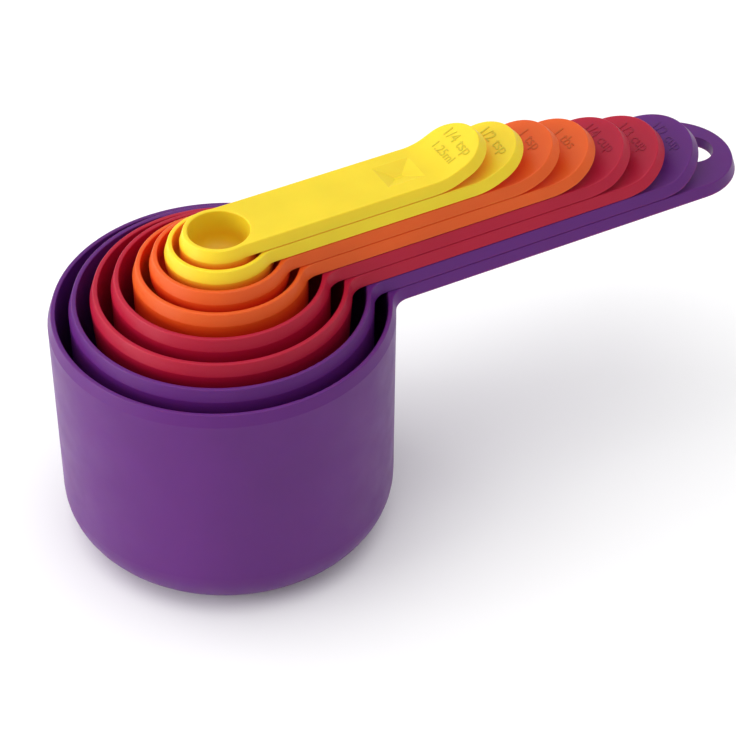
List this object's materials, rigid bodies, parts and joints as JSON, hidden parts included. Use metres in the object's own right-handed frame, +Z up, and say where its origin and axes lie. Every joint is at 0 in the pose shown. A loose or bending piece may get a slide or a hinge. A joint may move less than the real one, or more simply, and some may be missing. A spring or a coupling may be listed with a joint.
{
  "type": "nesting measuring cup set",
  "caption": "Stack of round flat-bottomed measuring cups and spoons that nest inside each other, with flat handles that overlap like leaves and a hanging hole in the longest one.",
  "frame": {"origin": "centre of the largest cup's foot, on the surface that it stands on", "axes": "+Z up out of the bowls, +X along the handles"},
  "size_m": [0.1733, 0.0776, 0.0855],
  "materials": {
    "purple_plastic": "satin, moulded in colour",
    "red_plastic": "satin, moulded in colour",
    "orange_plastic": "satin, moulded in colour",
    "yellow_plastic": "satin, moulded in colour"
  },
  "bodies": {
    "one_cup": {"one_cup": "purple_plastic"},
    "half_cup": {"half_cup": "purple_plastic"},
    "third_cup": {"third_cup": "red_plastic"},
    "quarter_cup": {"quarter_cup": "red_plastic"},
    "tablespoon": {"tablespoon": "orange_plastic"},
    "teaspoon": {"teaspoon": "orange_plastic"},
    "half_teaspoon": {"half_teaspoon": "yellow_plastic"},
    "quarter_teaspoon": {"quarter_teaspoon": "yellow_plastic"}
  },
  "joints": [
    {"name": "half_cup_lift", "type": "slide", "parent": "one_cup", "child": "half_cup", "axis": [0, 0, 1], "range_m": [0, 0.043]},
    {"name": "third_cup_lift", "type": "slide", "parent": "half_cup", "child": "third_cup", "axis": [0, 0, 1], "range_m": [0, 0.043]},
    {"name": "quarter_cup_lift", "type": "slide", "parent": "third_cup", "child": "quarter_cup", "axis": [0, 0, 1], "range_m": [0, 0.043]},
    {"name": "tablespoon_lift", "type": "slide", "parent": "quarter_cup", "child": "tablespoon", "axis": [0, 0, 1], "range_m": [0, 0.021]},
    {"name": "teaspoon_lift", "type": "slide", "parent": "tablespoon", "child": "teaspoon", "axis": [0, 0, 1], "range_m": [0, 0.014]},
    {"name": "half_teaspoon_lift", "type": "slide", "parent": "teaspoon", "child": "half_teaspoon", "axis": [0, 0, 1], "range_m": [0, 0.013]},
    {"name": "quarter_teaspoon_lift", "type": "slide", "parent": "half_teaspoon", "child": "quarter_teaspoon", "axis": [0, 0, 1], "range_m": [0, 0.013]}
  ]
}
